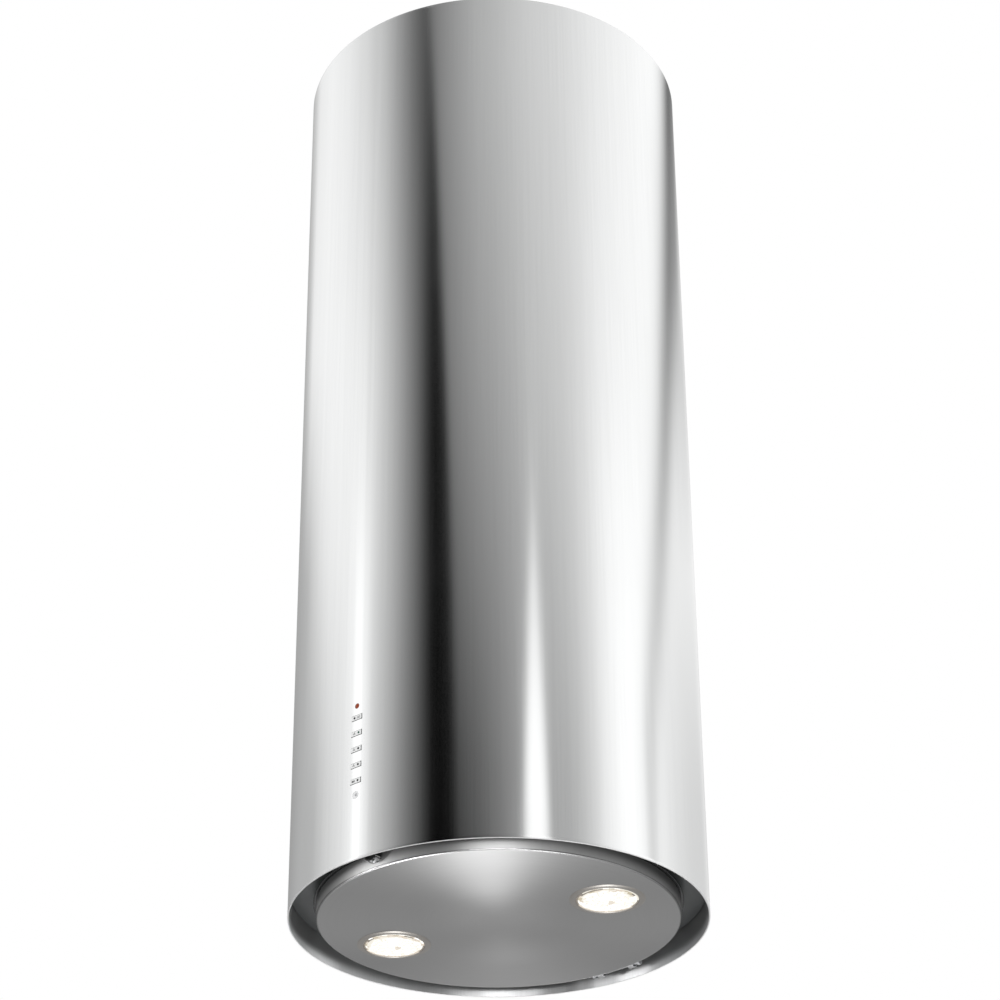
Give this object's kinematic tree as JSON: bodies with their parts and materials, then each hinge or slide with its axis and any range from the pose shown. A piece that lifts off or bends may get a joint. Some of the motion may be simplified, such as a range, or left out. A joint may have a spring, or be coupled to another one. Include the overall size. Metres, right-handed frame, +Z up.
{
  "type": "island range hood",
  "caption": "Cylindrical stainless island range hood for hanging over a hob, with a hinged bottom panel, halogen lamps, push buttons, a grease filter and a blower.",
  "frame": {"origin": "centre of the ceiling plate's top face, where it meets the ceiling", "axes": "+Z up into the ceiling, along the cylinder's axis; -Y is the side with the buttons, +Y the side with the panel's hinge; +X to the right of someone facing the buttons"},
  "size_m": [0.37, 0.3711, 0.8926],
  "materials": {
    "shell_steel": "vertically brushed stainless steel, semi-bright",
    "sleeve_steel": "vertically brushed stainless steel",
    "panel_steel": "satin stainless steel with a fine radial sheen",
    "satin_ring": "satin stainless ring",
    "bright_steel": "polished bright metal",
    "zinc": "galvanised sheet, matt",
    "dark_paint": "dark grey stove paint",
    "black_plastic": "black moulded plastic",
    "grey_plastic": "grey moulded plastic",
    "key_plastic": "silver-grey moulded keys",
    "white_plastic": "off-white moulded plastic",
    "filter_aluminium": "expanded aluminium mesh and folded frame",
    "circuit_board": "green circuit board",
    "lamp_glass": "textured lit glass",
    "lamp_bulb": "lit halogen capsule",
    "reflector": "bright warm reflector",
    "red_lens": "red lens of a lit pilot lamp"
  },
  "bodies": {
    "ceiling_frame": {"ceiling_plate": "zinc", "upper_sleeve": "sleeve_steel", "terminal_box": "black_plastic", "cable_gland": "grey_plastic", "upper_rail_1": "zinc", "upper_rail_2": "zinc", "upper_rail_3": "zinc", "upper_rail_4": "zinc", "clamp_screw_1": "bright_steel", "clamp_screw_2": "bright_steel", "clamp_screw_3": "bright_steel", "clamp_screw_4": "bright_steel"},
    "hood_body": {"outer_shell": "shell_steel", "lower_rail_1": "zinc", "lower_rail_2": "zinc", "lower_rail_3": "zinc", "lower_rail_4": "zinc", "intake_plate": "dark_paint", "filter_frame": "filter_aluminium", "filter_mesh": "filter_aluminium", "blower_housing": "zinc", "motor": "dark_paint", "motor_bracket": "zinc", "blower_shelf": "zinc", "duct_collar": "black_plastic", "damper_pin": "bright_steel", "electrics_plate": "zinc", "power_box": "black_plastic", "lamp_transformer": "white_plastic", "capacitor": "white_plastic", "control_housing": "black_plastic", "control_board": "circuit_board", "led_lens": "red_lens", "receiver_window": "grey_plastic", "hinge_bracket": "zinc", "catch_clip": "bright_steel"},
    "panel": {"panel_tray": "panel_steel", "panel_trim": "black_plastic", "catch_knob": "bright_steel", "hinge_hook_1": "bright_steel", "hinge_hook_2": "bright_steel", "lamp_bezel_1": "satin_ring", "lamp_glass_1": "lamp_glass", "lamp_reflector_1": "reflector", "lamp_bulb_1": "lamp_bulb", "lamp_bezel_2": "satin_ring", "lamp_glass_2": "lamp_glass", "lamp_reflector_2": "reflector", "lamp_bulb_2": "lamp_bulb"},
    "fan": {"impeller": "black_plastic", "motor_shaft": "bright_steel"},
    "flap_rear": {"damper_flap_rear": "grey_plastic"},
    "flap_front": {"damper_flap_front": "grey_plastic"},
    "latch": {"filter_latch": "black_plastic"},
    "key_1": {"button_1": "key_plastic"},
    "key_2": {"button_2": "key_plastic"},
    "key_3": {"button_3": "key_plastic"},
    "key_4": {"button_4": "key_plastic"},
    "key_5": {"button_5": "key_plastic"}
  },
  "joints": [
    {"name": "body_height_slide", "type": "slide", "parent": "ceiling_frame", "child": "hood_body", "axis": [0, 0, -1], "range_m": [0, 0.275]},
    {"name": "bottom_panel_hinge", "type": "hinge", "parent": "hood_body", "child": "panel", "pos_m": [0, 0.165, -0.885], "axis": [1, 0, 0], "range_deg": [0, 90]},
    {"name": "fan_spin", "type": "hinge", "parent": "hood_body", "child": "fan", "pos_m": [0, -0.052, -0.715], "axis": [1, 0, 0], "continuous": true},
    {"name": "flap_rear_swing", "type": "hinge", "parent": "hood_body", "child": "flap_rear", "pos_m": [0, 0, -0.542], "axis": [1, 0, 0], "range_deg": [0, 75]},
    {"name": "flap_front_swing", "type": "hinge", "parent": "hood_body", "child": "flap_front", "pos_m": [0, 0, -0.542], "axis": [-1, 0, 0], "range_deg": [0, 75]},
    {"name": "filter_latch_slide", "type": "slide", "parent": "hood_body", "child": "latch", "axis": [0, 1, 0], "range_m": [0, 0.006], "stiffness_N_per_m": 400, "springref_m": -0.004},
    {"name": "button_1_press", "type": "slide", "parent": "hood_body", "child": "key_1", "axis": [0, 1, 0], "range_m": [0, 0.0012], "stiffness_N_per_m": 1200, "springref_m": -0.0008},
    {"name": "button_2_press", "type": "slide", "parent": "hood_body", "child": "key_2", "axis": [0, 1, 0], "range_m": [0, 0.0012], "stiffness_N_per_m": 1200, "springref_m": -0.0008},
    {"name": "button_3_press", "type": "slide", "parent": "hood_body", "child": "key_3", "axis": [0, 1, 0], "range_m": [0, 0.0012], "stiffness_N_per_m": 1200, "springref_m": -0.0008},
    {"name": "button_4_press", "type": "slide", "parent": "hood_body", "child": "key_4", "axis": [0, 1, 0], "range_m": [0, 0.0012], "stiffness_N_per_m": 1200, "springref_m": -0.0008},
    {"name": "button_5_press", "type": "slide", "parent": "hood_body", "child": "key_5", "axis": [0, 1, 0], "range_m": [0, 0.0012], "stiffness_N_per_m": 1200, "springref_m": -0.0008}
  ]
}
